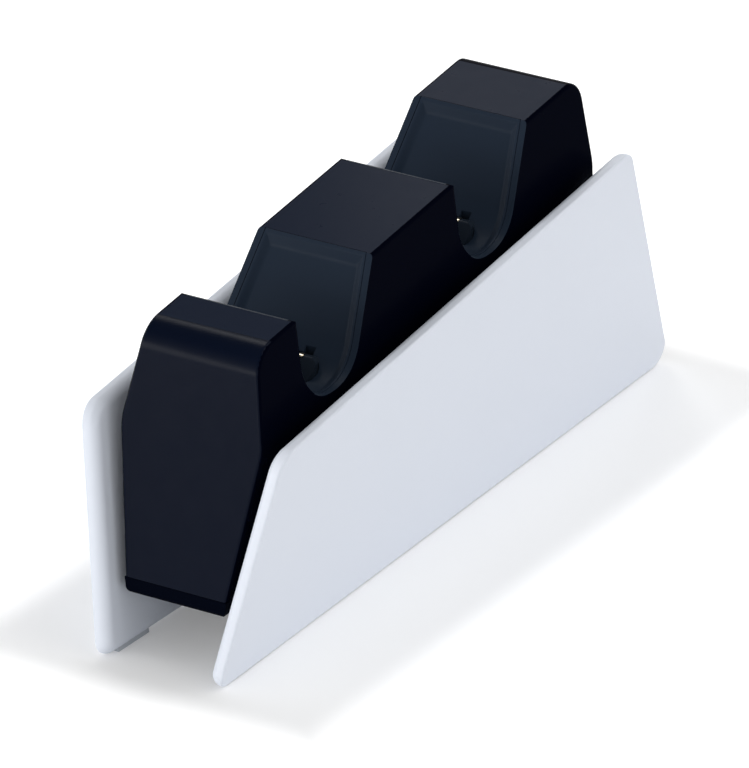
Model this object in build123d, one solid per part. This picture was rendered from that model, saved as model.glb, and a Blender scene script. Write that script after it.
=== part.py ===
"""Two-bay charging dock for game controllers.

Axes: +X is the right-hand side, +Y the rear, +Z up.  The origin is on the floor, on the plane of
symmetry, half-way along the dock.  The housing and both side panels are one cross-section carried
along a line that rises towards the rear.  "Height square to the slope" is measured from the origin
across that line, so every top edge is at one such height.
"""
import os
from math import atan2, cos, pi, radians, sin, tan

from build123d import *

# Overall stance
length = 206.2              # side panels along the floor, between square corners
slope = 6.8                 # degrees the tops rise towards the rear
front_rake = 11.2           # degrees the front edges lean back
rear_rake = 31.8            # degrees the rear edges lean forward

# Side panels
panel_lean = 11.0           # degrees outwards
panel_top_half = 26.4       # outer face to the symmetry plane at the top edge
panel_top_height = 65.2     # height square to the slope
panel_thickness = 3.6
panel_outer_round = 0.5     # small round between the outer face and the edges
panel_inner_round = 2.7     # large round between the edges and the inner face
panel_front_top_round = 6.5
panel_rear_top_round = 5.0
panel_rear_foot_round = 4.2
panel_front_foot_round = 2.9
stud_radius = 4.2           # studs on the panel's inner face that meet the housing
stud_height = 38.0
stud_insets = (31.0, 79.0, -79.0, -41.0)    # from the panel's front or rear corner
stud_gap = 0.1

# Rubber feet let into the panels' lower edges
foot_proud = 0.2
foot_length = 12.0
foot_width = 1.6
foot_depth = 1.8
foot_side = 1.6             # foot's middle inside the panel's outer face
foot_inset = 5.6            # from the panel's square front corner
foot_rear_inset = 14.5      # from its square rear corner
foot_gap = 0.05

# Housing
body_front_inset = 4.4      # behind the panel's front edge, along the floor
body_rear_inset = 6.9
body_top_half = 14.85
body_top_height = 83.4
waist_half = 18.5
waist_height = 61.8
side_draft = 9.0            # degrees the sides close in below the waist
waist_round = 13.0
wall = 1.6
column_front_round = 5.4    # front face into the top of the front column
column_rear_round = 5.0
column_back_inset = 48.55   # rear column's upper back from the panel's rear corner, at column_back_z
column_back_z = 70.0
column_back_lean = 2.8      # degrees the upper back leans forward
knee_round = 6.0
front_edge_round = 0.9

# Bottom cover
base_height = 13.6          # underside above the floor
cover_height = 4.1          # cover's height on the outside
cover_tuck = 0.7            # how far the cover's ends draw in towards its underside
cover_floor = 2.2
cover_edge_round = 1.8
seam = 0.15

# Controller bays, in the side view
bay_front_y = (-69.25, -2.65)   # side walls' front corner at the top edge, front and rear bay
bay_mouth = 32.7            # along Y between the side walls' two corners
bay_depth = 19.85           # floor below the front wall's top edge
bay_front_lean = 3.5        # degrees the front wall is undercut
bay_back_lean = 30.8        # degrees the back wall leans back
bay_front_round = 8.6
bay_back_round = 13.9
front_lip = 1.7             # how far the front wall stands proud of the side walls' rounded edges
front_lip_seam = 0.35       # top plate's edge in front of the side walls' corner
front_lip_round = 1.7
dish_depth = 1.0            # hollow of the cradle below its rims
dish_slope = 2.4            # width over which the rim falls into the hollow
dish_round = 3.0
dish_start = 0.3            # from the cradle's side to where it begins to fall
cradle_wall = 1.9
lip_edge = 0.05             # cradle's width at the top of the back wall
lip_taper = 32.0            # degrees from the vertical at which the cradle's lip widens downwards
back_rim = 0.9              # rim left at the top of the back wall

# Connector that stands in each bay
nose_half = 10.2
nose_front = 11.2           # from the bay's front edge to the nose's front, below the surface
nose_apex = 16.6
nose_apex_height = 4.6      # above the bay's floor line
nose_crown = 1.5
nose_back = 19.9
nose_plan_round = 4.2
nose_shoulder_round = 2.2   # in the front view, at the ends of the nose's ridge
nose_gap = 0.35
flange_half = 10.9
flange_depth = 2.2          # flange beyond the nose, front and back
contact_offset = 5.8
contact_width = 1.2
contact_thickness = 0.3
contact_proud = 0.1
contact_start = 0.3         # how far in front of the nose's apex a contact begins
slot_extra = 1.2

# Circuit boards
board_thickness = 1.6
bay_board_drop = 9.0        # board's top below the bay's floor line
bay_board_half = 14.6
bay_board_length = 15.0
bay_post_radius = 2.1
main_board_length = 82.6
main_board_half = 8.2
main_board_height = 22.0
main_post_radius = 2.2
main_post_offset = 5.6
main_post_insets = (4.0, 67.0)      # from the board's front edge

# Screws
screw_radius = 1.25
screw_head_radius = 2.3
screw_head_height = 1.5
pilot_radius = 1.0
hole_clearance = 0.3
cover_post_radius = 3.2
cover_screw_insets = (25.0, 83.0, -63.0, -25.0)     # from the panel's front or rear corner
cover_screw_length = 5.2
cover_pilot_depth = 3.9
board_screw_length = 5.0
panel_screw_length = 6.4

# Power inlet in the rear
inlet_recess_half = 7.6
inlet_recess_low = 22.4
inlet_recess_high = 35.2
inlet_wall_inset = 31.5     # outer face of the wall at the back of the recess, from the rear corner
inlet_axis_height = 29.0
jack_length = 12.6
jack_half = 4.5
jack_barrel_radius = 4.0
jack_bore_radius = 2.8
jack_bore_depth = 9.5
jack_pin_radius = 1.0

# Ballast
ballast_gap = 1.2           # between the ballast and the ribs in front of and behind it
ballast_rib = 1.2
ballast_half = 8.4
ballast_height = 9.0

# Leads from the main board to the bay boards
lead_radius = 0.65
lead_spacing = 1.7
lead_side = 5.2
header_length = 3.4
header_height = 3.6

# Components on the main board, their rows measured from its front edge
header_row = 10.6
chip_rows = (15.0, 39.0)
chip_size = 5.0
chip_height = 0.9
coil_rows = (24.0, 45.0)
coil_size = 6.0
coil_height = 3.0
coil_side = -3.6
can_rows = (24.0, 45.0, 58.0)
can_sides = (4.2, 4.2, -4.4)
can_radius = 2.6
can_height = 7.0

reach = 150.0               # longer than the dock, for cutting tools

rise = radians(slope)
section_plane = Plane(origin=(0, 0, 0), x_dir=(1, 0, 0), z_dir=(0, -cos(rise), -sin(rise)))


def square_height(y, z):
    return z * cos(rise) - y * sin(rise)


def level(y, height):
    """Z of the point at this y and height square to the slope."""
    return (height + y * sin(rise)) / cos(rise)


def meet(y_floor, rake, height):
    """Side-view point where an end line from the floor reaches a height square to the slope."""
    run = tan(radians(rake))
    z = (height + y_floor * sin(rise)) / (cos(rise) - run * sin(rise))
    return (y_floor + run * z, z)


def side_prism(outline, half=reach):
    """A side-view outline carried across the dock."""
    return extrude(Plane.YZ * make_face(outline), half, both=True)


def swept(outline):
    """A cross-section carried along the slope."""
    return extrude(section_plane * make_face(outline), reach, both=True)


def panel_x(height, depth=0.0):
    """Half-width of the panel's surface this far inside its outer face."""
    drop = (panel_top_height - height) * tan(radians(panel_lean))
    return panel_top_half - drop - depth / cos(radians(panel_lean))


def body_half(height):
    """Half-width of the housing's outer side."""
    if height > waist_height:
        upper = (waist_half - body_top_half) / (body_top_height - waist_height)
        return body_top_half + upper * (body_top_height - height)
    return waist_half - tan(radians(side_draft)) * (waist_height - height)


front_floor_y = -length / 2
rear_floor_y = length / 2
body_front_floor = front_floor_y + body_front_inset
body_rear_floor = rear_floor_y - body_rear_inset
cover_top = base_height + cover_height
column_back_y = rear_floor_y - column_back_inset
inlet_wall_y = rear_floor_y - inlet_wall_inset
main_board_rear = inlet_wall_y - wall - 2 * seam
main_board_front = main_board_rear - main_board_length


def from_end(inset):
    """Y this far behind the panel's front corner, or in front of its rear corner if negative."""
    return front_floor_y + inset if inset > 0 else rear_floor_y + inset


stud_places = [(from_end(inset), stud_height) for inset in stud_insets]
cover_screw_places = [from_end(inset) for inset in cover_screw_insets]
main_post_places = [(main_board_front + inset, side * main_post_offset)
                    for inset in main_post_insets for side in (-1, 1)]


def end_y(y_floor, rake, z):
    return y_floor + z * tan(radians(rake))


# Side panels

def panel_outline():
    low = foot_proud
    corners = [
        (end_y(front_floor_y, front_rake, low), low),
        meet(front_floor_y, front_rake, panel_top_height),
        meet(rear_floor_y, -rear_rake, panel_top_height),
        (end_y(rear_floor_y, -rear_rake, low), low),
    ]
    rounds = [panel_front_foot_round, panel_front_top_round, panel_rear_top_round, panel_rear_foot_round]
    return FilletPolyline(*corners, radius=rounds, close=True)


def panel_slab(near, far):
    """The leaning layer between two depths inside the right panel's outer face."""
    low, high = -60.0, 140.0
    return swept(Polyline((panel_x(low, near), low), (panel_x(high, near), high),
                          (panel_x(high, far), high), (panel_x(low, far), low), close=True))


def foot_block(start, grow=0.0):
    slab = panel_slab(foot_side - foot_width / 2 - grow, foot_side + foot_width / 2 + grow)
    height = foot_proud + foot_depth + grow
    return slab & Pos(0, start + foot_length / 2, height / 2) * Box(reach, foot_length + 2 * grow, height)


foot_starts = {
    "front": front_floor_y + foot_inset,
    "rear": rear_floor_y - foot_rear_inset - foot_length,
}


def lower_side_plane(y, z):
    """Plane on the housing's right side below the waist, facing outwards."""
    height = square_height(y, z)
    tilt = radians(side_draft)
    out = (cos(tilt), sin(tilt) * sin(rise), -sin(tilt) * cos(rise))
    return Plane(origin=(body_half(height), y, z), z_dir=out, x_dir=(0, cos(rise), sin(rise)))


def right_panel():
    blank = panel_slab(0.0, panel_thickness) & side_prism(panel_outline())
    inner = blank.faces().sort_by(SortBy.AREA)[-2:].sort_by(Axis.X)[0]
    blank = fillet(inner.edges(), panel_inner_round)
    outer = blank.faces().sort_by(SortBy.AREA)[-2:].sort_by(Axis.X)[-1]
    blank = fillet(outer.edges(), panel_outer_round)
    for start in foot_starts.values():
        blank -= foot_block(start, foot_gap)
    inside = panel_slab(panel_thickness / 2, panel_thickness + 12.0)
    pilot_length = panel_screw_length - wall
    for y, z in stud_places:
        plane = lower_side_plane(y, z)
        stud = plane * Pos(0, 0, stud_gap + 5.0) * Cylinder(stud_radius, 10.0)
        blank += stud & inside
    for y, z in stud_places:
        plane = lower_side_plane(y, z)
        blank -= plane * Pos(0, 0, pilot_length / 2) * Cylinder(pilot_radius, pilot_length)
    return blank


# Housing envelope

def body_section(inset=0.0):
    low = -20.0
    points = [(body_top_half, body_top_height), (waist_half, waist_height), (body_half(low), low)]
    loop = points + [(-x, h) for x, h in reversed(points)]
    outline = FilletPolyline(*loop, radius=[0, waist_round, 0, 0, waist_round, 0], close=True)
    face = make_face(outline)
    return offset(face, -inset, kind=Kind.INTERSECTION) if inset else face


def body_side(inset=0.0):
    """Side view of the housing and its cover, without the bays."""
    back_run = tan(radians(column_back_lean))
    back_floor = column_back_y + column_back_z * back_run
    top_back = meet(back_floor, -column_back_lean, body_top_height)
    rear_run = tan(radians(rear_rake))
    knee_z = (body_rear_floor - back_floor) / (rear_run - back_run)
    corners = [
        (end_y(body_front_floor, front_rake, base_height) + cover_tuck, base_height),
        (end_y(body_front_floor, front_rake, cover_top), cover_top),
        meet(body_front_floor, front_rake, body_top_height),
        top_back,
        (back_floor - knee_z * back_run, knee_z),
        (end_y(body_rear_floor, -rear_rake, cover_top), cover_top),
        (end_y(body_rear_floor, -rear_rake, base_height) - cover_tuck, base_height),
    ]
    rounds = [0, 0, column_front_round, column_rear_round, knee_round, 0, 0]
    face = make_face(FilletPolyline(*corners, radius=rounds, close=True))
    return offset(face, -inset, kind=Kind.INTERSECTION) if inset else face


def envelope(inset=0.0):
    section = extrude(section_plane * body_section(inset), reach, both=True)
    side = extrude(Plane.YZ * body_side(inset), reach, both=True)
    return section & side


def above(z):
    return Pos(0, 0, z + reach / 2) * Box(2 * reach, 2 * reach, reach)


def below(z):
    return Pos(0, 0, z - reach / 2) * Box(2 * reach, 2 * reach, reach)


# Bays

def bay_corner(index):
    """Side-view point where the front wall meets the tops, and the bay's floor height."""
    y = bay_front_y[index]
    z = level(y, body_top_height)
    return y, z, z - bay_depth


def bay_outline(index, grow=0.0, ease=0.0, rim=None):
    """The bay in the side view, grown into the material.  Ease moves only the front wall.  With a
    rim, the hollow stops short of the back wall's top edge and slants out through it."""
    y0, z0, floor = bay_corner(index)
    y1 = y0 + bay_mouth
    y0 += front_lip
    over = 12.0
    front_run = tan(radians(bay_front_lean))
    back_run = tan(radians(bay_back_lean))
    front_shift = grow / cos(radians(bay_front_lean)) + ease
    back_shift = grow / cos(radians(bay_back_lean))
    z1 = level(y1, body_top_height)

    def front_at(z):
        return y0 - (z0 - z) * front_run - front_shift

    def back_at(z):
        return y1 + (z - z1) * back_run + back_shift

    low = floor - grow
    points = [(front_at(z0 + over), z0 + over), (front_at(low), low), (back_at(low), low)]
    rounds = [0, bay_front_round + grow + 0.7 * ease, bay_back_round + grow]
    if rim is None:
        points.append((back_at(z1 + over), z1 + over))
        rounds.append(0)
    else:
        along = Vector(sin(radians(bay_back_lean)), cos(radians(bay_back_lean)))
        out = Vector(-cos(radians(bay_back_lean)), sin(radians(bay_back_lean)))
        edge = Vector(y1, z1) - along * rim
        slant = (out * dish_depth + along * dish_slope) * (1 / dish_depth)
        end = edge - slant * grow
        stop = edge + slant * 3.0
        points += [(end.X, end.Y), (stop.X, stop.Y)]
        rounds += [max(0.05, dish_round * grow / dish_depth), 0]
    return FilletPolyline(*points, radius=rounds, close=True)


def side_margin_planes(margin):
    """Wedge between two planes this far inside the housing's upper sides."""
    low, high = waist_height - 30.0, body_top_height + 30.0
    run = (waist_half - body_top_half) / (body_top_height - waist_height)

    def x(height):
        return body_top_half + run * (body_top_height - height) - margin

    return swept(Polyline((x(low), low), (x(high), high), (-x(high), high), (-x(low), low), close=True))


def slanted_face(index, margin, grow=0.0, ease=0.0, rim=None):
    """The bay's outline on the plane this far inside the housing's right side."""
    prism = side_prism(bay_outline(index, grow, ease, rim)) & side_margin_planes(margin)
    return prism.faces().sort_by(Axis.X)[-1]


def bay_tool(index):
    """What the bay takes out of the housing: its front wall rounds off into the sides."""
    steps = 4
    faces = [slanted_face(index, -1.0, ease=front_lip)]
    for step in range(steps + 1):
        turn = radians(90 * step / steps)
        faces.append(slanted_face(index, wall * (1 - cos(turn)), ease=front_lip * (1 - sin(turn))))
    flare = loft(faces, ruled=True)
    middle = side_prism(bay_outline(index)) & side_margin_planes(wall)
    return middle + flare + mirror(flare, Plane.YZ)


def dish_tool(index):
    """What hollows the cradle between its rims: deep in the middle, with soft sides."""
    steps = 6
    start = wall + seam + dish_start
    faces = [slanted_face(index, start - dish_slope * 0.4, -dish_depth * 0.4, rim=back_rim)]
    for step in range(1, steps + 1):
        share = step / steps
        fall = dish_depth * (1 - cos(pi * share)) / 2
        faces.append(slanted_face(index, start + dish_slope * share, fall, rim=back_rim))
    side_slope = loft(faces, ruled=True)
    middle = side_prism(bay_outline(index, dish_depth, rim=back_rim)) & side_margin_planes(start + dish_slope)
    return middle + side_slope + mirror(side_slope, Plane.YZ)


def crown_tool(index):
    """What lies outside the rounded top of the bay's front wall."""
    y0, z0, floor = bay_corner(index)
    corner = y0 + front_lip
    top = level(corner, body_top_height)
    low = top - 8.0
    start = y0 - front_lip_seam - 6.0
    block = FilletPolyline((start, level(start, body_top_height)), (corner, top),
                           (corner - 8.0 * tan(radians(bay_front_lean)), low), (start, low),
                           radius=[0, front_lip_round, 0, 0], close=True)
    around = Polyline((y0 - front_lip_seam, low + 3.0), (corner + 3.0, low + 3.0), (corner + 3.0, top + 6.0),
                      (y0 - front_lip_seam, top + 6.0), close=True)
    return side_prism(around) - side_prism(block)


# Cradles

def inner_sides_open(clearance=seam):
    """Space between the housing's side walls, open at the top."""
    run = (waist_half - body_top_half) / (body_top_height - waist_height)
    inset = wall + clearance
    side_wall = inset / cos(atan2(run, 1.0))
    lower_wall = inset / cos(radians(side_draft))
    high = body_top_height + 20.0
    low = -20.0
    points = [(body_top_half - run * 20.0 - side_wall, high), (waist_half - side_wall, waist_height),
              (body_half(low) - lower_wall, low)]
    loop = points + [(-x, h) for x, h in reversed(points)]
    outline = FilletPolyline(*loop, radius=[0, waist_round - inset, 0, 0, waist_round - inset, 0], close=True)
    return extrude(section_plane * make_face(outline), reach, both=True)


def lip_region(index, grow=0.0):
    """What the cradle may fill at its top: behind the edge of the top plate in front of it, and up
    to the tops beside the back wall, where the lip narrows upwards to nothing."""
    y0 = bay_front_y[index]
    y1 = y0 + bay_mouth
    top = level(y1, body_top_height)
    under = body_top_height - wall - seam + grow
    start = y0 - 20.0
    front = y0 - front_lip_seam + seam - grow
    edge = y1 + lip_edge + grow
    depth = 60.0
    outline = Polyline((start, level(start, under)), (front, level(front, under)),
                       (front, level(front, body_top_height)), (edge, level(edge, body_top_height)),
                       (edge + depth * tan(radians(lip_taper)), top - depth), (start, top - depth), close=True)
    return side_prism(outline)


def cradle(index):
    solid = side_prism(bay_outline(index, dish_depth + cradle_wall)) - side_prism(bay_outline(index))
    solid = solid & inner_sides_open() & lip_region(index)
    solid -= dish_tool(index)
    solid -= crown_tool(index)
    y0, z0, floor = bay_corner(index)
    under = side_prism(bay_outline(index, dish_depth + cradle_wall / 2))
    middle = nose_middle(index)
    bottom = floor - bay_board_drop
    for side in (-1, 1):
        x = side * bay_post_offset()
        post = Pos(x, middle, (floor + bottom) / 2) * Cylinder(bay_post_radius, floor - bottom)
        pilot = Pos(x, middle, bottom + 2.0) * Cylinder(pilot_radius, 4.0)
        solid += post - under
        solid -= pilot
    solid -= nose_opening(index)
    return solid


# Connector noses

def bay_post_offset():
    """How far to each side a bay board's screw can go, for its head to clear the housing."""
    height = body_top_height - bay_depth - bay_board_drop - board_thickness - screw_head_height
    return body_half(height) - wall / cos(radians(side_draft)) - screw_head_radius - 0.5


def nose_middle(index):
    return bay_front_y[index] + (nose_front + nose_back) / 2


def nose_outline(index, grow=0.0):
    y0, z0, floor = bay_corner(index)
    low = floor - bay_board_drop
    crown = floor + nose_apex_height
    points = [(y0 + nose_front, low), (y0 + nose_front, floor - 3.4), (y0 + nose_apex, crown),
              (y0 + nose_apex + nose_crown, crown - 0.1), (y0 + nose_back, floor + 1.4), (y0 + nose_back, low)]
    outline = make_face(FilletPolyline(*points, radius=[0, 0, 1.1, 1.1, 1.4, 0], close=True))
    return offset(outline, grow, kind=Kind.INTERSECTION) if grow else outline


def nose_plan(index, grow=0.0):
    y0, z0, floor = bay_corner(index)
    size = nose_back - nose_front
    plan = RectangleRounded(2 * (nose_half + grow), size + 2 * grow, nose_plan_round + grow)
    return extrude(Pos(0, nose_middle(index), floor - 30.0) * plan, 60.0)


def nose_opening(index):
    y0, z0, floor = bay_corner(index)
    opening = nose_plan(index, nose_gap)
    for side in (-1, 1):
        notch_y = y0 + nose_back + nose_gap + slot_extra / 2 - 0.5
        opening += Pos(side * contact_offset, notch_y, floor) * Box(contact_width + 1.4, slot_extra + 1.0, 30.0)
    return opening


def contact_band(index, side, half_width, inner, outer):
    """Strip that follows the nose's profile, between two distances from it."""
    band = extrude(Plane.YZ * nose_outline(index, outer), reach, both=True)
    band -= extrude(Plane.YZ * nose_outline(index, inner), reach, both=True)
    y0, z0, floor = bay_corner(index)
    start = y0 + nose_apex - contact_start - (half_width - contact_width / 2)
    keep = Pos(side * contact_offset, start + 11.0, floor) * Box(2 * half_width, 22.0, 60.0)
    return band & keep


def nose_front_view(index):
    """The nose's outline seen from the front, with round shoulders."""
    crown = bay_corner(index)[2] + nose_apex_height
    view = FilletPolyline((-nose_half, crown - 20.0), (nose_half, crown - 20.0), (nose_half, crown),
                          (-nose_half, crown), radius=[0, 0, nose_shoulder_round, nose_shoulder_round], close=True)
    return extrude(Plane.XZ * make_face(view), reach, both=True)


def connector(index):
    y0, z0, floor = bay_corner(index)
    block = extrude(Plane.YZ * nose_outline(index), nose_half, both=True) & nose_plan(index)
    block = block & nose_front_view(index)
    bottom = floor - bay_board_drop + seam
    size = nose_back - nose_front + 2 * flange_depth
    flange = Pos(0, nose_middle(index), bottom + 6.0) * Box(2 * flange_half, size, 12.0)
    flange = flange & side_prism(bay_outline(index, dish_depth + cradle_wall + 12.0))
    flange -= side_prism(bay_outline(index, dish_depth + cradle_wall + seam))
    block = (block & above(bottom)) + flange
    for side in (-1, 1):
        post = Pos(side * bay_post_offset(), nose_middle(index), floor)
        block -= post * Cylinder(bay_post_radius + hole_clearance, 40.0)
        block -= contact_band(index, side, contact_width / 2 + 0.15, -(contact_thickness - contact_proud + 0.1), 0.6)
    return block


def contact(index, side):
    inner = contact_proud - contact_thickness
    strip = contact_band(index, side, contact_width / 2, inner, contact_proud)
    y0, z0, floor = bay_corner(index)
    return strip & above(floor - bay_board_drop + 0.02)


def bay_board(index):
    y0, z0, floor = bay_corner(index)
    middle = nose_middle(index)
    top = floor - bay_board_drop
    board = Pos(0, middle, top - board_thickness / 2) * Box(2 * bay_board_half, bay_board_length, board_thickness)
    for side in (-1, 1):
        board -= Pos(side * bay_post_offset(), middle, top) * Cylinder(screw_radius + hole_clearance / 2, 20.0)
    return board & envelope(wall + 0.3)


# Housing, cover and what they carry

def cover_post(y):
    return Pos(0, y, cover_top + reach / 2) * Cylinder(cover_post_radius, reach)


def inlet_box(grow=0.0, floor_y=None):
    low, high = inlet_recess_low - grow, inlet_recess_high + grow
    start = (inlet_wall_y if floor_y is None else floor_y) - grow
    return Pos(0, start + reach / 2, (low + high) / 2) * Box(2 * (inlet_recess_half + grow), reach, high - low)


def ledge(index):
    """Shelf inside each side wall that carries the cradle's edge."""
    top = dish_depth + cradle_wall + seam
    shelf = side_prism(bay_outline(index, top + 1.6)) - side_prism(bay_outline(index, top))
    high = body_top_height - wall - 4.0
    run = swept(Polyline((-60, -60), (60, -60), (60, high), (-60, high), close=True))
    middle = side_margin_planes(wall + 2.2)
    return (shelf & run) - middle


def upper_housing():
    outer = envelope()
    front_edges = [e for e in outer.edges().filter_by(GeomType.LINE)
                   if e.center().Y < front_floor_y + 25 and abs(e.center().X) > 8 and e.length > 20]
    outer = fillet(front_edges, front_edge_round)
    cavity = envelope(wall)
    shell = outer - cavity
    inside = envelope(0.4)
    for index in (0, 1):
        shell += ledge(index) & inside
    for y in cover_screw_places:
        shell += cover_post(y) & inside & above(cover_top)
    shell += inlet_box(wall) & inside
    shell -= inlet_box()
    for index in (0, 1):
        shell -= bay_tool(index)
        shell -= crown_tool(index)
        room = side_prism(bay_outline(index, dish_depth + cradle_wall + seam)) & inner_sides_open(0.0)
        shell -= room & lip_region(index, seam)
    for y in cover_screw_places:
        shell -= Pos(0, y, cover_top) * Cylinder(pilot_radius, 2 * cover_pilot_depth)
    for y, z in stud_places:
        hole = lower_side_plane(y, z) * Cylinder(screw_radius + hole_clearance / 2, 3 * wall)
        shell -= hole
        shell -= mirror(hole, Plane.YZ)
    jack_hole = Rot(90, 0, 0) * Cylinder(jack_barrel_radius + 0.1, 4 * wall)
    shell -= Pos(0, inlet_wall_y - wall, inlet_axis_height) * jack_hole
    return shell & above(cover_top + seam / 2)


def bottom_cover():
    outer = envelope() & below(cover_top - seam / 2)
    rim = outer.faces().sort_by(Axis.Z)[0].edges()
    outer = fillet(rim, cover_edge_round)
    pocket = envelope(wall) & above(base_height + cover_floor)
    cover = outer - pocket
    for y in cover_screw_places:
        post = Pos(0, y, (base_height + cover_top - seam) / 2) * Cylinder(cover_post_radius, cover_height - seam)
        hole = Pos(0, y, base_height) * Cylinder(screw_radius + hole_clearance / 2, 20.0)
        head = Pos(0, y, base_height) * Cylinder(screw_head_radius + 0.3, 2 * (screw_head_height + 0.3))
        cover += post
        cover -= hole + head
    inside = envelope(wall + 0.2)
    for y, x in main_post_places:
        height = main_board_height - base_height - cover_floor / 2
        post = Pos(x, y, main_board_height - height / 2) * Cylinder(main_post_radius, height)
        pilot = Pos(x, y, main_board_height - 2.0) * Cylinder(pilot_radius, 4.0)
        cover += (post & inside) + (post & below(base_height + cover_floor) & outer)
        cover -= pilot
    for y in ballast_ribs():
        wide = Pos(0, y, base_height + cover_floor + 1.0) * Box(2 * ballast_half, ballast_rib, 3.0)
        cover += wide & inside_cover()
    return cover


def inside_cover():
    return envelope(wall / 2) & above(base_height + 1.0)


def ballast_ribs():
    """Y of the two ribs that hold the ballast, between the first two cover screws."""
    clear = cover_post_radius + ballast_rib
    return cover_screw_places[0] + clear, cover_screw_places[1] - clear


def ballast():
    low = base_height + cover_floor
    front, rear = ballast_ribs()
    ballast_length = rear - front - ballast_rib - 2 * ballast_gap
    block = Pos(0, (front + rear) / 2, low + ballast_height / 2) * Box(
        2 * ballast_half, ballast_length, ballast_height)
    block = chamfer(block.edges().filter_by(Axis.Z), 1.5)
    return block


def main_board():
    size = main_board_rear - main_board_front
    middle = (main_board_rear + main_board_front) / 2
    board = Pos(0, middle, main_board_height + board_thickness / 2) * Box(2 * main_board_half, size, board_thickness)
    board -= Pos(0, cover_screw_places[2], main_board_height) * Cylinder(cover_post_radius + 0.4, 10.0)
    for y, x in main_post_places:
        board -= Pos(x, y, main_board_height) * Cylinder(screw_radius + hole_clearance / 2, 10.0)
    return board


def power_jack():
    low = main_board_height + board_thickness
    high = inlet_axis_height + jack_half + 0.4
    front = inlet_wall_y - wall - seam - jack_length
    body = Pos(0, front + jack_length / 2, (low + high) / 2) * Box(2 * jack_half, jack_length, high - low)
    barrel_length = wall + seam
    barrel = Pos(0, inlet_wall_y - barrel_length / 2, inlet_axis_height) * Rot(90, 0, 0) * Cylinder(
        jack_barrel_radius, barrel_length)
    bore = Pos(0, inlet_wall_y - jack_bore_depth / 2 + 1.0, inlet_axis_height) * Rot(90, 0, 0) * Cylinder(
        jack_bore_radius, jack_bore_depth + 2.0)
    return body + barrel - bore


def jack_pin():
    depth = jack_bore_depth - 1.5
    start = inlet_wall_y - jack_bore_depth
    return Pos(0, start + depth / 2, inlet_axis_height) * Rot(90, 0, 0) * Cylinder(jack_pin_radius, depth)


def on_board(x, row, sx, sy, sz):
    """A box-shaped part soldered on the main board, its row measured from the board's front edge."""
    z = main_board_height + board_thickness
    return Pos(x, main_board_front + row, z + sz / 2) * Box(sx, sy, sz)


def charge_chips():
    return Compound([on_board(0, row, chip_size, chip_size, chip_height) for row in chip_rows])


def inductors():
    parts = []
    for row in coil_rows:
        block = on_board(coil_side, row, coil_size, coil_size, coil_height)
        parts.append(chamfer(block.edges().filter_by(Axis.Z), coil_size / 8))
    return Compound(parts)


def capacitors():
    z = main_board_height + board_thickness
    cans = []
    for x, row in zip(can_sides, can_rows):
        can = Pos(x, main_board_front + row, z + can_height / 2) * Cylinder(can_radius, can_height)
        cans.append(fillet(can.edges().group_by(Axis.Z)[-1], can_radius / 6))
    return Compound(cans)


def lead_header():
    width = 2 * lead_spacing + 2 * lead_radius
    return Compound([on_board(side * lead_side, header_row, width, header_length, header_height)
                     for side in (-1, 1)])


def leads(index):
    """Two wires from the main board's header up to the bay's board."""
    y0, z0, floor = bay_corner(index)
    side = -1 if index == 0 else 1
    start_y = main_board_front + header_row
    start_z = main_board_height + board_thickness + header_height
    end_z = floor - bay_board_drop - board_thickness
    end_y = y0 + (nose_back - 1.0 if index == 0 else nose_front + 1.6)
    bend = 5.0
    turn_z = (start_z + end_z) / 2
    wires = []
    for step in (-0.5, 0.5):
        x = side * lead_side + step * lead_spacing
        shift = step * 2.4
        points = [(x, start_y, start_z), (x, start_y, turn_z + shift), (x, end_y + shift, turn_z + shift),
                  (x, end_y + shift, end_z)]
        run = abs(end_y + shift - start_y) / 2
        radius = min(bend, run * 0.9, (end_z - turn_z - abs(shift)) * 0.9)
        path = FilletPolyline(*points, radius=radius)
        wires.append(sweep(Plane(origin=path @ 0, z_dir=path % 0) * Circle(lead_radius), path))
    return Compound(wires)


def screw(length_under):
    """Pan-head screw with its head's seat at the origin and its shank along -Z."""
    shank = Pos(0, 0, -length_under / 2) * Cylinder(pilot_radius - 0.02, length_under)
    head = Pos(0, 0, screw_head_height / 2) * Cylinder(screw_head_radius, screw_head_height)
    head = fillet(head.edges().group_by(Axis.Z)[-1], 0.5)
    cross = Box(0.6, 2.4, 1.6) + Box(2.4, 0.6, 1.6)
    return shank + head - Pos(0, 0, screw_head_height) * cross


def cover_screws():
    seat = base_height + screw_head_height + 0.3
    return Compound([Pos(0, y, seat) * Rot(180, 0, 0) * screw(cover_screw_length) for y in cover_screw_places])


def main_board_screws():
    top = main_board_height + board_thickness
    return Compound([Pos(x, y, top) * screw(board_screw_length) for y, x in main_post_places])


def bay_board_screws(index):
    y0, z0, floor = bay_corner(index)
    z = floor - bay_board_drop - board_thickness
    one = Rot(180, 0, 0) * screw(board_screw_length)
    return Compound([Pos(side * bay_post_offset(), nose_middle(index), z) * one for side in (-1, 1)])


def panel_screws(side):
    screws = []
    for y, z in stud_places:
        plane = lower_side_plane(y, z)
        one = plane * Pos(0, 0, -wall - 0.02) * Rot(180, 0, 0) * screw(panel_screw_length)
        screws.append(one if side > 0 else mirror(one, Plane.YZ))
    return Compound(screws)


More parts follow.
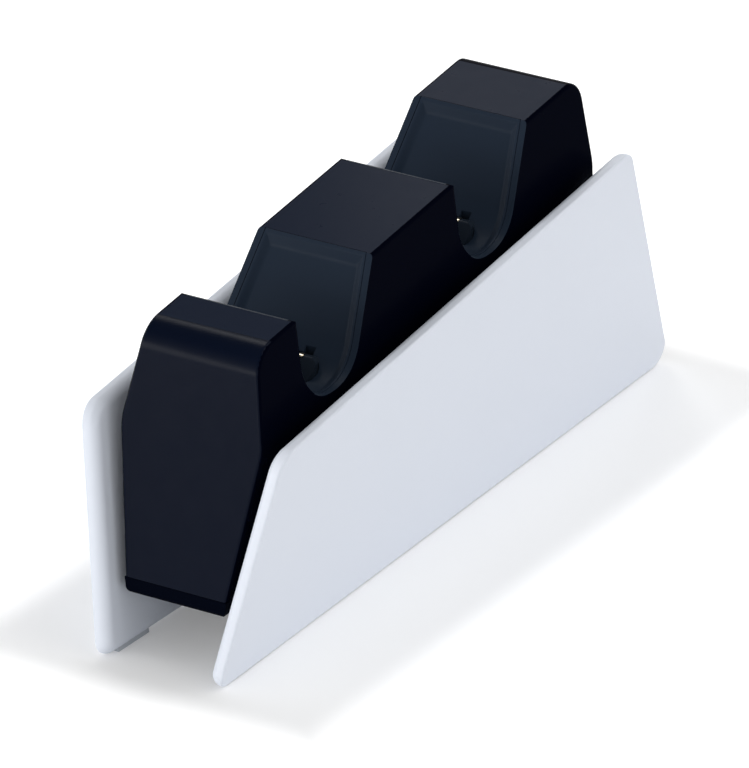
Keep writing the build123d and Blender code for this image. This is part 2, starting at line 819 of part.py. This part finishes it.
def build():
    right = right_panel()
    nodes = {"right_panel": right, "left_panel": mirror(right, Plane.YZ)}
    for end, start in foot_starts.items():
        foot = foot_block(start)
        nodes[f"right_{end}_foot"] = foot
        nodes[f"left_{end}_foot"] = mirror(foot, Plane.YZ)
    nodes["upper_housing"] = upper_housing()
    nodes["bottom_cover"] = bottom_cover()
    for index, name in enumerate(("front", "rear")):
        nodes[f"{name}_cradle"] = cradle(index)
        nodes[f"{name}_connector"] = connector(index)
        for side, hand in ((1, "right"), (-1, "left")):
            nodes[f"{name}_{hand}_contact"] = contact(index, side)
        nodes[f"{name}_bay_board"] = bay_board(index)
        nodes[f"{name}_board_screws"] = bay_board_screws(index)
        nodes[f"{name}_leads"] = leads(index)
    nodes["ballast_block"] = ballast()
    nodes["main_board"] = main_board()
    nodes["charge_chips"] = charge_chips()
    nodes["inductors"] = inductors()
    nodes["capacitors"] = capacitors()
    nodes["lead_headers"] = lead_header()
    nodes["power_jack"] = power_jack()
    nodes["jack_pin"] = jack_pin()
    nodes["cover_screws"] = cover_screws()
    nodes["main_board_screws"] = main_board_screws()
    nodes["right_panel_screws"] = panel_screws(1)
    nodes["left_panel_screws"] = panel_screws(-1)
    return nodes


os.makedirs("parts", exist_ok=True)
nodes = build()
midway = nodes["right_panel"].bounding_box().center().Y
for name, shape in nodes.items():
    export_step(Pos(0, -midway, 0) * shape, f"parts/{name}.step")
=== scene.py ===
"""Looks for the controller charging dock.

Every CAD node is copied, merged and smoothed, or remade, and gets a moulded-plastic, rubber,
lacquered or metal finish.  Lengths are in metres, in the CAD model's own frame.
"""
from math import atan2, cos, hypot, radians, sin, tan

import bmesh
import bpy
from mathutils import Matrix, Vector


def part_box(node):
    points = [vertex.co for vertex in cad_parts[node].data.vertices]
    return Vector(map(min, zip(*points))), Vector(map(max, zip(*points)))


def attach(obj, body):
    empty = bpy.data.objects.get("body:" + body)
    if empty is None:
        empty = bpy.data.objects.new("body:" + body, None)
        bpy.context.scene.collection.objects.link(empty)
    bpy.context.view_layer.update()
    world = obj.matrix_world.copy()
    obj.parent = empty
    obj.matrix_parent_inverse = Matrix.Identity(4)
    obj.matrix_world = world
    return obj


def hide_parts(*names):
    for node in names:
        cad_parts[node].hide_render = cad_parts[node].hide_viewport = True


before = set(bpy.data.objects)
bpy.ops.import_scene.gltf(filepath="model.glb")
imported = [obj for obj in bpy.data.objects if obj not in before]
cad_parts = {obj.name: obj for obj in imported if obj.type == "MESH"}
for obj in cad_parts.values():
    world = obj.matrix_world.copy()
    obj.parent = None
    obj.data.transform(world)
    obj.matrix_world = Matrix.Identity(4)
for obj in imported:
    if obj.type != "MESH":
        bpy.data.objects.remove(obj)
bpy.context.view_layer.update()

# The dock's tops rise towards the rear, and its lower sides close in towards the floor
SLOPE = radians(6.8)
SIDE_DRAFT = radians(9.0)
TOP_NORMAL = Vector((0, -sin(SLOPE), cos(SLOPE)))


# Finishes

# Noise cells to a metre
SHADE_CELLS = 22.0              # slow drift of a moulding's shade
SHINE_CELLS = 260.0             # drift of its roughness
SPARK_CELLS = 1500.0            # grain that spark erosion leaves in the mould
RUBBER_CELLS = 500.0
LACQUER_CELLS = 350.0
WEAR_CELLS = 600.0              # fine wear on metal
CASTING_CELLS = 120.0

# Depths of the grain
SPARK_DEPTH = 0.000006
TOP_DEPTH = 0.000003
RUBBER_DEPTH = 0.00004
LACQUER_DEPTH = 0.00002
BUMP_STRENGTH = 0.3

SHINE_DRIFT = 0.03              # either side of a moulding's roughness
WORN_SHADE = 0.86               # darkest shade of a metal, as a share of its colour
WORN_SHINE = (0.7, 1.4)         # least and most roughness of a metal, as shares
NOISE_MIDDLE = (0.3, 0.7)       # where nearly all of a noise's values lie

# Sockets of a Mix node that is set to colours
MIX_FIRST, MIX_SECOND, MIX_RESULT = 6, 7, 2


def new_material(name):
    material = bpy.data.materials.new(name)
    material.use_nodes = True
    tree = material.node_tree
    return material, tree, tree.nodes["Principled BSDF"]


def join(tree, out_node, out_name, in_node, in_name):
    tree.links.new(out_node.outputs[out_name], in_node.inputs[in_name])


def grain(tree, scale, detail, roughness=0.55):
    """Noise on object coordinates, in metres."""
    place = tree.nodes.new("ShaderNodeTexCoord")
    noise = tree.nodes.new("ShaderNodeTexNoise")
    noise.inputs["Scale"].default_value = scale
    noise.inputs["Detail"].default_value = detail
    noise.inputs["Roughness"].default_value = roughness
    join(tree, place, "Object", noise, "Vector")
    return noise


def map_range(tree, start, end, low, high):
    """A Map Range node that takes start to low and end to high."""
    node = tree.nodes.new("ShaderNodeMapRange")
    node.inputs["From Min"].default_value = start
    node.inputs["From Max"].default_value = end
    node.inputs["To Min"].default_value = low
    node.inputs["To Max"].default_value = high
    return node


def roughen(tree, shader, noise, low, high):
    """Roughness that wanders between two values with a noise."""
    worn = map_range(tree, *NOISE_MIDDLE, low, high)
    join(tree, noise, "Fac", worn, "Value")
    join(tree, worn, "Result", shader, "Roughness")


def tint(tree, shader, noise, dark, light):
    """Base colour that drifts between two shades."""
    blend = tree.nodes.new("ShaderNodeMix")
    blend.data_type = "RGBA"
    blend.inputs[MIX_FIRST].default_value = (*dark, 1.0)
    blend.inputs[MIX_SECOND].default_value = (*light, 1.0)
    join(tree, noise, "Fac", blend, "Factor")
    tree.links.new(blend.outputs[MIX_RESULT], shader.inputs["Base Color"])


def moulded(name, colour, rough, ior, cells=SPARK_CELLS, depth=SPARK_DEPTH, drift=0.05):
    """Injection-moulded plastic: an even colour with a faint drift, a fine grain and a roughness
    that wanders slightly."""
    material, tree, shader = new_material(name)
    shader.inputs["IOR"].default_value = ior
    dark = [c * (1 - drift) for c in colour]
    light = [min(1.0, c * (1 + drift)) for c in colour]
    tint(tree, shader, grain(tree, SHADE_CELLS, detail=2.0), dark, light)
    roughen(tree, shader, grain(tree, SHINE_CELLS, detail=4.0), rough - SHINE_DRIFT, rough + SHINE_DRIFT)
    pits = grain(tree, cells, detail=2.0, roughness=0.7)
    bump = tree.nodes.new("ShaderNodeBump")
    bump.inputs["Strength"].default_value = BUMP_STRENGTH
    bump.inputs["Distance"].default_value = depth
    join(tree, pits, "Fac", bump, "Height")
    join(tree, bump, "Normal", shader, "Normal")
    return material


def metal(name, colour, rough, cells=WEAR_CELLS):
    """Plated, machined or cast metal with fine wear in its roughness."""
    material, tree, shader = new_material(name)
    shader.inputs["Metallic"].default_value = 1.0
    cloud = grain(tree, cells, detail=4.0)
    tint(tree, shader, cloud, [c * WORN_SHADE for c in colour], colour)
    roughen(tree, shader, cloud, *(rough * share for share in WORN_SHINE))
    return material


# Each has a name, a colour and a roughness.  Moulded ones also have an index of refraction, and some
# have noise cells and a depth for a grain of their own.
WHITE_PANEL = moulded("panel white satin", (0.76, 0.80, 0.88), 0.46, 1.38, drift=0.006)
# The housing's side, top and front finishes are lit and shaded copies of one black plastic: the tops and
# the front face are painted lighter and the sides painted darker, as light falls on them. Their
# roughness, index and grain differ for real.
HOUSING_SIDE_PAINTED_SHADE = moulded("housing side gloss painted shade", (0.0006, 0.0011, 0.0048), 0.22, 1.035)
HOUSING_TOP_PAINTED_LIT = moulded("housing top satin painted lit", (0.0055, 0.0105, 0.0255), 0.3, 1.09, depth=TOP_DEPTH)
HOUSING_FRONT_PAINTED_LIT = moulded("housing front satin painted lit", (0.002, 0.0042, 0.0125), 0.24, 1.145)
CRADLE = moulded("cradle slate satin", (0.013, 0.0215, 0.037), 0.42, 1.15)
COVER = moulded("bottom cover black", (0.0012, 0.002, 0.0055), 0.4, 1.04)
CONNECTOR = moulded("connector black", (0.011, 0.0165, 0.026), 0.32, 1.16)
JACK = moulded("inlet black", (0.01, 0.01, 0.012), 0.4, 1.3)
CHIP = moulded("chip black", (0.02, 0.02, 0.022), 0.55, 1.4)
HEADER = moulded("header cream", (0.62, 0.58, 0.48), 0.5, 1.4)
RUBBER = moulded("foot rubber", (0.55, 0.58, 0.63), 0.78, 1.3, RUBBER_CELLS, RUBBER_DEPTH)
SLEEVE = moulded("lead sleeve", (0.30, 0.015, 0.012), 0.45, 1.4)
BOARD = moulded("board lacquer", (0.012, 0.09, 0.04), 0.3, 1.45, LACQUER_CELLS, LACQUER_DEPTH, drift=0.12)
PLATING = metal("contact plating", (0.62, 0.55, 0.42), 0.2)
STEEL = metal("screw steel", (0.55, 0.55, 0.56), 0.3)
IRON = metal("ballast iron", (0.12, 0.12, 0.125), 0.6, CASTING_CELLS)
CAN = metal("capacitor can", (0.75, 0.75, 0.77), 0.22)


# Pieces from the CAD nodes

SAME_CORNER = 2e-6              # corners nearer to each other than this are one
CREASE = radians(28.0)          # an edge that turns more than this is a real one


def merged(node):
    """A CAD node's mesh with its loose triangles joined."""
    mesh = bmesh.new()
    mesh.from_mesh(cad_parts[node].data)
    bmesh.ops.remove_doubles(mesh, verts=mesh.verts, dist=SAME_CORNER)
    return mesh


def plain(piece):
    """Turns the piece's modifiers into its mesh."""
    graph = bpy.context.evaluated_depsgraph_get()
    data = bpy.data.meshes.new_from_object(piece.evaluated_get(graph), depsgraph=graph)
    data.name = piece.name
    piece.modifiers.clear()
    piece.data = data


def new_piece(name, data):
    piece = bpy.data.objects.new(name, data)
    bpy.context.scene.collection.objects.link(piece)
    return piece


def is_smooth(edge):
    return len(edge.link_faces) == 2 and edge.calc_face_angle(radians(180)) < CREASE


def smooth_copy(node, name, reshape=None):
    """A merged copy of a CAD node, smooth except at its real edges, that stands for it."""
    mesh = merged(node)
    if reshape:
        reshape(mesh)
    for face in mesh.faces:
        face.smooth = True
    for edge in mesh.edges:
        edge.smooth = is_smooth(edge)
    data = bpy.data.meshes.new(name)
    mesh.to_mesh(data)
    mesh.free()
    piece = new_piece(name, data)
    weights = piece.modifiers.new("flats stay flat", "WEIGHTED_NORMAL")
    weights.keep_sharp = True
    plain(piece)
    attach(piece, "root")
    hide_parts(node)
    return piece


def dress(piece, material):
    """Gives a whole piece one finish."""
    piece.data.materials.clear()
    piece.data.materials.append(material)


# Side panels and feet

for hand in ("right", "left"):
    dress(smooth_copy(f"{hand}_panel", f"{hand}_side_shell"), WHITE_PANEL)
    for end in ("front", "rear"):
        dress(smooth_copy(f"{hand}_{end}_foot", f"{hand}_{end}_rubber"), RUBBER)


# Upper housing and bottom cover

FRONT_RAKE = radians(11.2)              # lean of the front face
FRONT_CORNER = (-0.08266, 0.07397)      # where the front face and the top would meet, in Y and Z
FRONT_COLUMN_END = -0.0675              # just behind the front column
CAD_FRONT_ROUND = 0.0054                # radius in the CAD model
FRONT_ROUND = 0.0077                    # radius of the real one
ROUND_FROM = SLOPE - 0.002              # turn from upright where the round starts, and a little more
ROUND_TO = radians(90.1) - FRONT_RAKE
EASED_END = 0.0012                      # the round's eased ends lie up to this far inside it
ON_ROUND = 0.00005                      # corners of the round lie at most this far outside it
ONE_FLAT = radians(0.4)                 # faces that turn less than this are one flat


def round_centre(radius):
    """Middle of the round between the front face and the top, in Y and Z."""
    y, z = FRONT_CORNER
    reach = radius * tan((radians(90) - FRONT_RAKE - SLOPE) / 2)
    return (y + reach * cos(SLOPE) + radius * sin(SLOPE), z + reach * sin(SLOPE) - radius * cos(SLOPE))


def fuller_front(mesh):
    """Gives the top of the front column the large round that the CAD model has too small."""
    column = [vert for vert in mesh.verts if vert.co.y < FRONT_COLUMN_END]
    edges = [edge for edge in mesh.edges if all(vert.co.y < FRONT_COLUMN_END for vert in edge.verts)]
    bmesh.ops.dissolve_limit(mesh, angle_limit=ONE_FLAT, verts=column, edges=edges)
    old, new = round_centre(CAD_FRONT_ROUND), round_centre(FRONT_ROUND)
    for vert in mesh.verts:
        dy, dz = vert.co.y - old[0], vert.co.z - old[1]
        turn, far = atan2(-dy, dz), hypot(dy, dz)
        if ROUND_FROM < turn < ROUND_TO and -EASED_END < far - CAD_FRONT_ROUND < ON_ROUND:
            far += FRONT_ROUND - CAD_FRONT_ROUND
            vert.co.y = new[0] - far * sin(turn)
            vert.co.z = new[1] + far * cos(turn)


# Where the housing's painted lit and shaded faces meet, and how far the faces of each may turn
FRONT_FACE_END = -0.075         # faces in front of this belong to the front column's face
BAYS_END = 0.034                # behind this there is only the rear column's back
BAYS_BOTTOM = 0.05              # both bays end above this height
TOP_HEIGHT = 0.08323            # of the tops' plane, along its normal
TOP_EDGE = 0.0008               # depth of the eased edges round the tops
TOP_TURN = 0.998                # least cosine between a top's normal and the tops' own
FRONT_FACING = 0.1              # least forward part of a front face's normal
FRONT_SIDEWAYS = 0.6            # most sideways part of a front face's normal
BAY_SIDEWAYS = 0.8              # most sideways part of a bay rim's normal

# Tops, front face and bay rims (in the cradle's colour) are painted lighter than the glossy sides, by the
# way each face points
HOUSING_LIT_AND_SHADED_COPIES = (HOUSING_TOP_PAINTED_LIT, HOUSING_FRONT_PAINTED_LIT, CRADLE, HOUSING_SIDE_PAINTED_SHADE)
TOP, FRONT, BAY, SIDE = range(len(HOUSING_LIT_AND_SHADED_COPIES))


def housing_painted_light(normal, middle):
    """Which of the housing's lit and shaded copies a face has, by the way it faces: painted light and
    shade.
    """
    on_top = middle.dot(TOP_NORMAL) > TOP_HEIGHT - TOP_EDGE
    if on_top and normal.dot(TOP_NORMAL) > TOP_TURN:
        return TOP
    if middle.y < FRONT_FACE_END:
        return FRONT if -normal.y > FRONT_FACING and abs(normal.x) < FRONT_SIDEWAYS else SIDE
    in_bay = middle.y < BAYS_END and middle.z > BAYS_BOTTOM and not on_top
    return BAY if in_bay and abs(normal.x) < BAY_SIDEWAYS else SIDE


def dress_housing_lit_and_shaded(piece):
    """Tops, front face, bay rims and glossy sides are textured apart, and coloured lighter or darker by
    the way they face: painted light and shade.
    """
    mesh = piece.data
    mesh.materials.clear()
    for finish in HOUSING_LIT_AND_SHADED_COPIES:
        mesh.materials.append(finish)
    for face in mesh.polygons:
        face.material_index = housing_painted_light(face.normal, face.center)


dress_housing_lit_and_shaded(smooth_copy("upper_housing", "housing_shell", reshape=fuller_front))
dress(smooth_copy("bottom_cover", "cover_tray"), COVER)


# Cradles, connectors and contacts

NOSE_WIDER = 1.033              # width of a connector nose's top, as a share of the CAD model's
NOSE_CAP = 0.006                # height of the nose over which it is lowered
NOSE_LOWER = 0.0011             # how far its top comes down


def lower_nose(top):
    """Lowers what is near the top of a connector, and widens it a little."""
    def reshape(mesh):
        for vert in mesh.verts:
            share = min(1.0, max(0.0, (vert.co.z - top + NOSE_CAP) / NOSE_CAP))
            vert.co.z -= NOSE_LOWER * share
            vert.co.x *= 1 + (NOSE_WIDER - 1) * min(1.0, 2 * share)
    return reshape


for end in ("front", "rear"):
    dress(smooth_copy(f"{end}_cradle", f"{end}_cradle_shell"), CRADLE)
    nose_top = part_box(f"{end}_connector")[1][2]
    reshape_nose = lower_nose(nose_top)
    nose = smooth_copy(f"{end}_connector", f"{end}_connector_nose", reshape=reshape_nose)
    dress(nose, CONNECTOR)
    for hand in ("right", "left"):
        spring = smooth_copy(f"{end}_{hand}_contact", f"{end}_{hand}_spring", reshape=reshape_nose)
        dress(spring, PLATING)


# Boards, their parts, leads, ballast and inlet

INNER = {
    "board_green": (BOARD, ("front_bay_board", "rear_bay_board", "main_board")),
    "lead_sleeve": (SLEEVE, ("front_leads", "rear_leads")),
    "ballast_iron": (IRON, ("ballast_block",)),
    "chip_black": (CHIP, ("charge_chips", "inductors")),
    "capacitor_can": (CAN, ("capacitors",)),
    "header_white": (HEADER, ("lead_headers",)),
    "jack_black": (JACK, ("power_jack",)),
    "contact_plated": (PLATING, ("jack_pin",)),
}
for slot, (material, nodes) in INNER.items():
    for node in nodes:
        dress(smooth_copy(node, f"{node}_piece"), material)


# Screws: one tree makes a pan-head screw at every point it is given

SCREW_SIZES = {
    "Head Radius": 0.0023, "Head Height": 0.0015, "Head Round": 0.0005,
    "Shank Radius": 0.00098, "Recess Width": 0.0006, "Recess Length": 0.0024, "Recess Depth": 0.0008,
}
COVER_SHANK = 0.0052
BOARD_SHANK = 0.005
PANEL_SHANK = 0.0064
HEAD_SIDES = 40
SHANK_SIDES = 24
HEAD_TOP = 0.0001               # corners this near a CAD screw's end are its head's top


def screw_inputs(tree):
    """The tree's own sockets."""
    face = tree.interface
    face.new_socket("Places", in_out="INPUT", socket_type="NodeSocketGeometry")
    for name, size in {**SCREW_SIZES, "Shank Length": BOARD_SHANK}.items():
        face.new_socket(name, in_out="INPUT", socket_type="NodeSocketFloat").default_value = size
    face.new_socket("Metal", in_out="INPUT", socket_type="NodeSocketMaterial")
    face.new_socket("Screws", in_out="OUTPUT", socket_type="NodeSocketGeometry")


def screw_tree():
    """Points with a 'facing' attribute in, screws out."""
    tree = bpy.data.node_groups.new("pan head screws", "GeometryNodeTree")
    screw_inputs(tree)
    given = tree.nodes.new("NodeGroupInput")

    def feed(socket, value):
        """Sets a socket to a number, or joins it to a (node, output) pair."""
        if isinstance(value, tuple):
            tree.links.new(value[0].outputs[value[1]], socket)
        else:
            socket.default_value = value

    def node(kind, **links):
        made = tree.nodes.new(kind)
        for name, value in links.items():
            feed(made.inputs[name.replace("_", " ")], value)
        return made

    def math(operation, first, second):
        made = tree.nodes.new("ShaderNodeMath")
        made.operation = operation
        for socket, value in zip(made.inputs, (first, second)):
            feed(socket, value)
        return (made, "Value")

    def shifted(mesh, z):
        """A mesh node's output, moved up by z."""
        up = node("ShaderNodeCombineXYZ", X=0.0, Z=z)
        moved = node("GeometryNodeTransform", Geometry=(mesh, "Mesh"), Translation=(up, "Vector"))
        return (moved, "Geometry")

    def boolean(operation):
        made = tree.nodes.new("GeometryNodeMeshBoolean")
        made.operation = operation
        made.solver = "EXACT"
        return made

    radius, height, round_off = ((given, name) for name in ("Head Radius", "Head Height", "Head Round"))
    shank_length = (given, "Shank Length")
    barrel_height = math("SUBTRACT", height, round_off)
    crown_radius = math("SUBTRACT", radius, round_off)
    barrel = node("GeometryNodeMeshCylinder", Vertices=HEAD_SIDES, Radius=radius, Depth=barrel_height)
    crown = node("GeometryNodeMeshCone", Vertices=HEAD_SIDES, Radius_Top=crown_radius,
                 Radius_Bottom=radius, Depth=round_off)
    shank = node("GeometryNodeMeshCylinder", Vertices=SHANK_SIDES, Radius=(given, "Shank Radius"),
                 Depth=shank_length)
    solid = boolean("UNION")
    for part in (
        shifted(barrel, math("MULTIPLY", barrel_height, 0.5)),
        shifted(crown, barrel_height),
        shifted(shank, math("MULTIPLY", shank_length, -0.5)),
    ):
        feed(solid.inputs["Mesh 2"], part)

    recess_height = math("MULTIPLY", (given, "Recess Depth"), 2.0)
    cut = boolean("DIFFERENCE")
    feed(cut.inputs["Mesh 1"], (solid, "Mesh"))
    for wide, long in (("Recess Width", "Recess Length"), ("Recess Length", "Recess Width")):
        size = node("ShaderNodeCombineXYZ", X=(given, wide), Y=(given, long), Z=recess_height)
        bar = node("GeometryNodeMeshCube", Size=(size, "Vector"))
        feed(cut.inputs["Mesh 2"], shifted(bar, height))

    facing = tree.nodes.new("GeometryNodeInputNamedAttribute")
    facing.data_type = "FLOAT_VECTOR"
    facing.inputs["Name"].default_value = "facing"
    turn = tree.nodes.new("FunctionNodeAlignRotationToVector")
    turn.axis = "Z"
    feed(turn.inputs["Vector"], (facing, "Attribute"))
    placed = node("GeometryNodeInstanceOnPoints", Points=(given, "Places"), Instance=(cut, "Mesh"),
                  Rotation=(turn, "Rotation"))
    real = node("GeometryNodeRealizeInstances", Geometry=(placed, "Instances"))
    finish = node("GeometryNodeSetMaterial", Geometry=(real, "Geometry"), Material=(given, "Metal"))
    out = tree.nodes.new("NodeGroupOutput")
    feed(out.inputs["Screws"], (finish, "Geometry"))
    return tree


def islands(mesh):
    """The vertices of each separate solid in a merged mesh, in the mesh's own order."""
    seen = set()
    groups = []
    for first in mesh.verts:
        if first in seen:
            continue
        seen.add(first)
        stack = [first]
        group = []
        while stack:
            vert = stack.pop()
            group.append(vert)
            for edge in vert.link_edges:
                other = edge.other_vert(vert)
                if other not in seen:
                    seen.add(other)
                    stack.append(other)
        groups.append(group)
    return groups


def seat(group, facing):
    """Where the head of a CAD screw meets what it holds, if its top stays where it is."""
    top = max(vert.co.dot(facing) for vert in group)
    head = [vert.co for vert in group if top - vert.co.dot(facing) < HEAD_TOP]
    low = Vector(min(co[i] for co in head) for i in range(3))
    high = Vector(max(co[i] for co in head) for i in range(3))
    middle = (low + high) / 2
    return middle - facing * (middle.dot(facing) - top) - facing * SCREW_SIZES["Head Height"]


def seats_mesh(name, seats, facing):
    """A point for each screw, with the way that its head faces."""
    data = bpy.data.meshes.new(name)
    data.from_pydata([tuple(place) for place in seats], [], [])
    data.attributes.new("facing", "FLOAT_VECTOR", "POINT")
    for item in data.attributes["facing"].data:
        item.vector = facing
    return data


def screws(tree, node, facing, length):
    """Replaces a node's screws by the tree's."""
    facing = Vector(facing).normalized()
    mesh = merged(node)
    seats = [seat(group, facing) for group in islands(mesh)]
    mesh.free()
    piece = new_piece(f"{node}_set", seats_mesh(f"{node}_set", seats, facing))
    maker = piece.modifiers.new("screws", "NODES")
    maker.node_group = tree
    given = {"Shank Length": length, "Metal": STEEL}
    for item in tree.interface.items_tree:
        if item.in_out == "INPUT" and item.name in given:
            maker[item.identifier] = given[item.name]
    plain(piece)
    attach(piece, "root")
    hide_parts(node)


SCREWS = screw_tree()
UP = (0, 0, 1)
DOWN = (0, 0, -1)
# Square to the panels: a panel screw's head faces across the dock, a little forward and up
ACROSS = cos(SIDE_DRAFT)
FORWARD = -sin(SIDE_DRAFT) * sin(SLOPE)
UPWARD = sin(SIDE_DRAFT) * cos(SLOPE)
for node, facing, length in (
    ("cover_screws", DOWN, COVER_SHANK),
    ("front_board_screws", DOWN, BOARD_SHANK),
    ("rear_board_screws", DOWN, BOARD_SHANK),
    ("main_board_screws", UP, BOARD_SHANK),
    ("right_panel_screws", (-ACROSS, FORWARD, UPWARD), PANEL_SHANK),
    ("left_panel_screws", (ACROSS, FORWARD, UPWARD), PANEL_SHANK),
):
    screws(SCREWS, node, facing, length)


# Floor

FLOOR_SIZE = 12.0
FLOOR_GAP = 0.00005             # keeps the floor just under the feet
FLOOR_SHADE = 0.9
FLOOR_ROUGH = 0.9
PAINTED_SHADOW_LIFT = 0.16                # what is added to the floor's own shade, by the dock (less: a painted shadow) and away from it
LIFT_FAR = 0.5
PAINTED_SHADOW_HALF = (0.035, 0.1)      # half of the width and length of the painted shadow, a darker floor round the dock
LIFT_FROM = 0.004               # how far outside that the lift starts to grow, and is full
LIFT_TO = 0.018
WHITE = (1.0, 1.0, 1.0, 1.0)


def arithmetic(tree, operation, first, second=0.0):
    """A maths node's output; what goes in is an output or a number."""
    made = tree.nodes.new("ShaderNodeMath")
    made.operation = operation
    for socket, value in zip(made.inputs, (first, second)):
        if isinstance(value, float):
            socket.default_value = value
        else:
            tree.links.new(value, socket)
    return made.outputs["Value"]


def axes_of(tree, coordinates):
    """X, Y and Z outputs of a kind of texture coordinates."""
    place = tree.nodes.new("ShaderNodeTexCoord")
    split = tree.nodes.new("ShaderNodeSeparateXYZ")
    join(tree, place, coordinates, split, "Vector")
    return split.outputs


def floor_finish():
    """Pale floor that takes the dock's shadow.  It is lifted to white where the camera or a reflection
    sees it, and gives the dock no light by that.  Round the dock's foot the lift is smaller: a painted
    shadow."""
    material, tree, shader = new_material("studio floor")
    shader.inputs["Base Color"].default_value = (FLOOR_SHADE, FLOOR_SHADE, FLOOR_SHADE, 1.0)
    shader.inputs["Roughness"].default_value = FLOOR_ROUGH
    shader.inputs["Specular IOR Level"].default_value = 0.0
    shader.inputs["Emission Color"].default_value = WHITE
    # Less lift round the dock: a painted shadow on the floor
    place = axes_of(tree, "Object")
    outside = [arithmetic(tree, "SUBTRACT", arithmetic(tree, "ABSOLUTE", place[axis]), half)
               for axis, half in zip("XY", PAINTED_SHADOW_HALF)]
    fade = map_range(tree, LIFT_FROM, LIFT_TO, PAINTED_SHADOW_LIFT, LIFT_FAR)
    fade.interpolation_type = "SMOOTHSTEP"
    tree.links.new(arithmetic(tree, "MAXIMUM", *outside), fade.inputs["Value"])
    rays = tree.nodes.new("ShaderNodeLightPath").outputs
    seen = arithmetic(tree, "MAXIMUM", rays["Is Glossy Ray"], rays["Is Transmission Ray"])
    seen = arithmetic(tree, "MAXIMUM", rays["Is Camera Ray"], seen)
    lift = arithmetic(tree, "MULTIPLY", seen, fade.outputs["Result"])
    tree.links.new(lift, shader.inputs["Emission Strength"])
    return material


bpy.ops.mesh.primitive_plane_add(size=FLOOR_SIZE, location=(0, 0, -FLOOR_GAP))
floor = bpy.context.object
floor.name = "studio_floor"
floor.data.materials.append(floor_finish())


# Light

WALL_LIGHT = 1.15               # studio walls
CEILING_LIGHT = 0.22
WALLS_END = 0.25                # upward part of the direction where the walls start to darken
CEILING_START = 0.75


def studio_world():
    """Pale walls that darken towards the ceiling."""
    world = bpy.data.worlds.new("studio")
    world.use_nodes = True
    tree = world.node_tree
    background = tree.nodes["Background"]
    fade = map_range(tree, WALLS_END, CEILING_START, WALL_LIGHT, CEILING_LIGHT)
    fade.interpolation_type = "SMOOTHSTEP"
    tree.links.new(axes_of(tree, "Generated")["Z"], fade.inputs["Value"])
    join(tree, fade, "Result", background, "Strength")
    background.inputs["Color"].default_value = WHITE
    return world


def soft_box(name, at, aim, size, watts):
    """An area lamp: size is its width and height, and aim is a point that it faces."""
    lamp = bpy.data.lights.new(name, "AREA")
    lamp.shape = "RECTANGLE"
    lamp.size, lamp.size_y = size
    lamp.energy = watts
    holder = bpy.data.objects.new(name, lamp)
    bpy.context.scene.collection.objects.link(holder)
    holder.location = Vector(at)
    holder.rotation_euler = (Vector(aim) - Vector(at)).to_track_quat("-Z", "Y").to_euler()
    holder.visible_camera = False


bpy.context.scene.world = studio_world()
soft_box("overhead_right", at=(0.5, 0.25, 1.1), aim=(0, 0, 0), size=(0.9, 0.9), watts=4.2)
soft_box("front_left", at=(-0.59, -0.96, 0.2), aim=(0, -0.04, 0.07), size=(1.4, 0.3), watts=5.5)
soft_box("rear_left", at=(-0.095, 0.199, 0.222), aim=(0.01, 0.055, 0.093), size=(0.1, 0.1), watts=0.065)
soft_box("high_left", at=(-0.38, 0.25, 0.70), aim=(0, -0.08, 0.075), size=(0.2, 0.15), watts=0.5)
soft_box("low_right", at=(0.085, -0.02, 0.008), aim=(0.04, -0.02, 0.02), size=(0.24, 0.01), watts=0.005)


# Camera, found by fitting the dock's straight edges

VIEW_AZIMUTH = radians(31.567)
VIEW_ELEVATION = radians(24.544)
CAMERA_AT = Vector((0.95828, -1.56994, 0.87081))
LENS = 417.6                    # in millimetres, as the sensor is
SENSOR = 36.0


def photo_camera():
    data = bpy.data.cameras.new("photo_camera")
    data.sensor_fit = "VERTICAL"
    data.sensor_height = SENSOR
    data.sensor_width = SENSOR
    data.lens = LENS
    camera = bpy.data.objects.new("photo_camera", data)
    bpy.context.scene.collection.objects.link(camera)
    level = cos(VIEW_ELEVATION)
    back = Vector((sin(VIEW_AZIMUTH) * level, -cos(VIEW_AZIMUTH) * level, sin(VIEW_ELEVATION)))
    camera.location = CAMERA_AT
    camera.rotation_euler = back.to_track_quat("Z", "Y").to_euler()
    return camera


bpy.context.scene.camera = photo_camera()
bpy.context.scene.view_settings.view_transform = "Standard"
